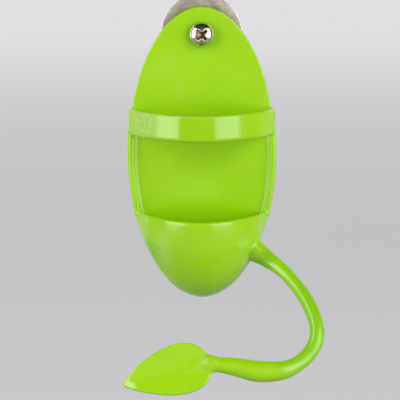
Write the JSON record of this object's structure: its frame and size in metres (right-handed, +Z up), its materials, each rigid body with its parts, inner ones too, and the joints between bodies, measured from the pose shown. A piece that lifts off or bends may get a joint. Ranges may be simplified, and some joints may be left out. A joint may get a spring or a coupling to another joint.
{
  "type": "hanging bird feeder cup",
  "caption": "Oval hanging feeder cup for a bird cage: a back plate with a guard band over a food window, a cup, a curved perch with a leaf end, and a clamp screw.",
  "frame": {"origin": "on the clamp screw's axis, in the plane of the back plate's rear face, which lies on the cage wires", "axes": "+Z up along the plate's height, +Y backwards along the screw into the cage wall, +X to the right seen from the front"},
  "size_m": [0.0729, 0.0675, 0.1389],
  "materials": {
    "green_plastic": "glossy lime green injection moulding, lightly scuffed",
    "nickel_screw": "bright nickel plate with a warm cast",
    "steel_washer": "dull stamped steel",
    "zinc_nut": "zinc plated, satin"
  },
  "bodies": {
    "feeder": {"back_plate": "green_plastic", "guard_band": "green_plastic", "food_cup": "green_plastic", "perch_arm": "green_plastic", "perch_leaf": "green_plastic"},
    "screw": {"clamp_screw": "nickel_screw"},
    "washer": {"clamp_washer": "steel_washer"},
    "nut": {"wing_nut": "zinc_nut"}
  },
  "joints": [
    {"name": "screw_turn", "type": "hinge", "parent": "feeder", "child": "screw", "pos_m": [0, 0, 0], "axis": [0, 1, 0], "continuous": true},
    {"name": "washer_slide", "type": "slide", "parent": "feeder", "child": "washer", "axis": [0, 1, 0], "range_m": [-0.0016, 0.008]},
    {"name": "nut_spin", "type": "hinge", "parent": "washer", "child": "nut", "pos_m": [0, 0.0038, 0], "axis": [0, 1, 0], "range_deg": [-721, 3601]}
  ],
  "couplings": [
    {"joint": "nut_spin", "follows": "washer_slide", "rad_per_m": 7854}
  ]
}
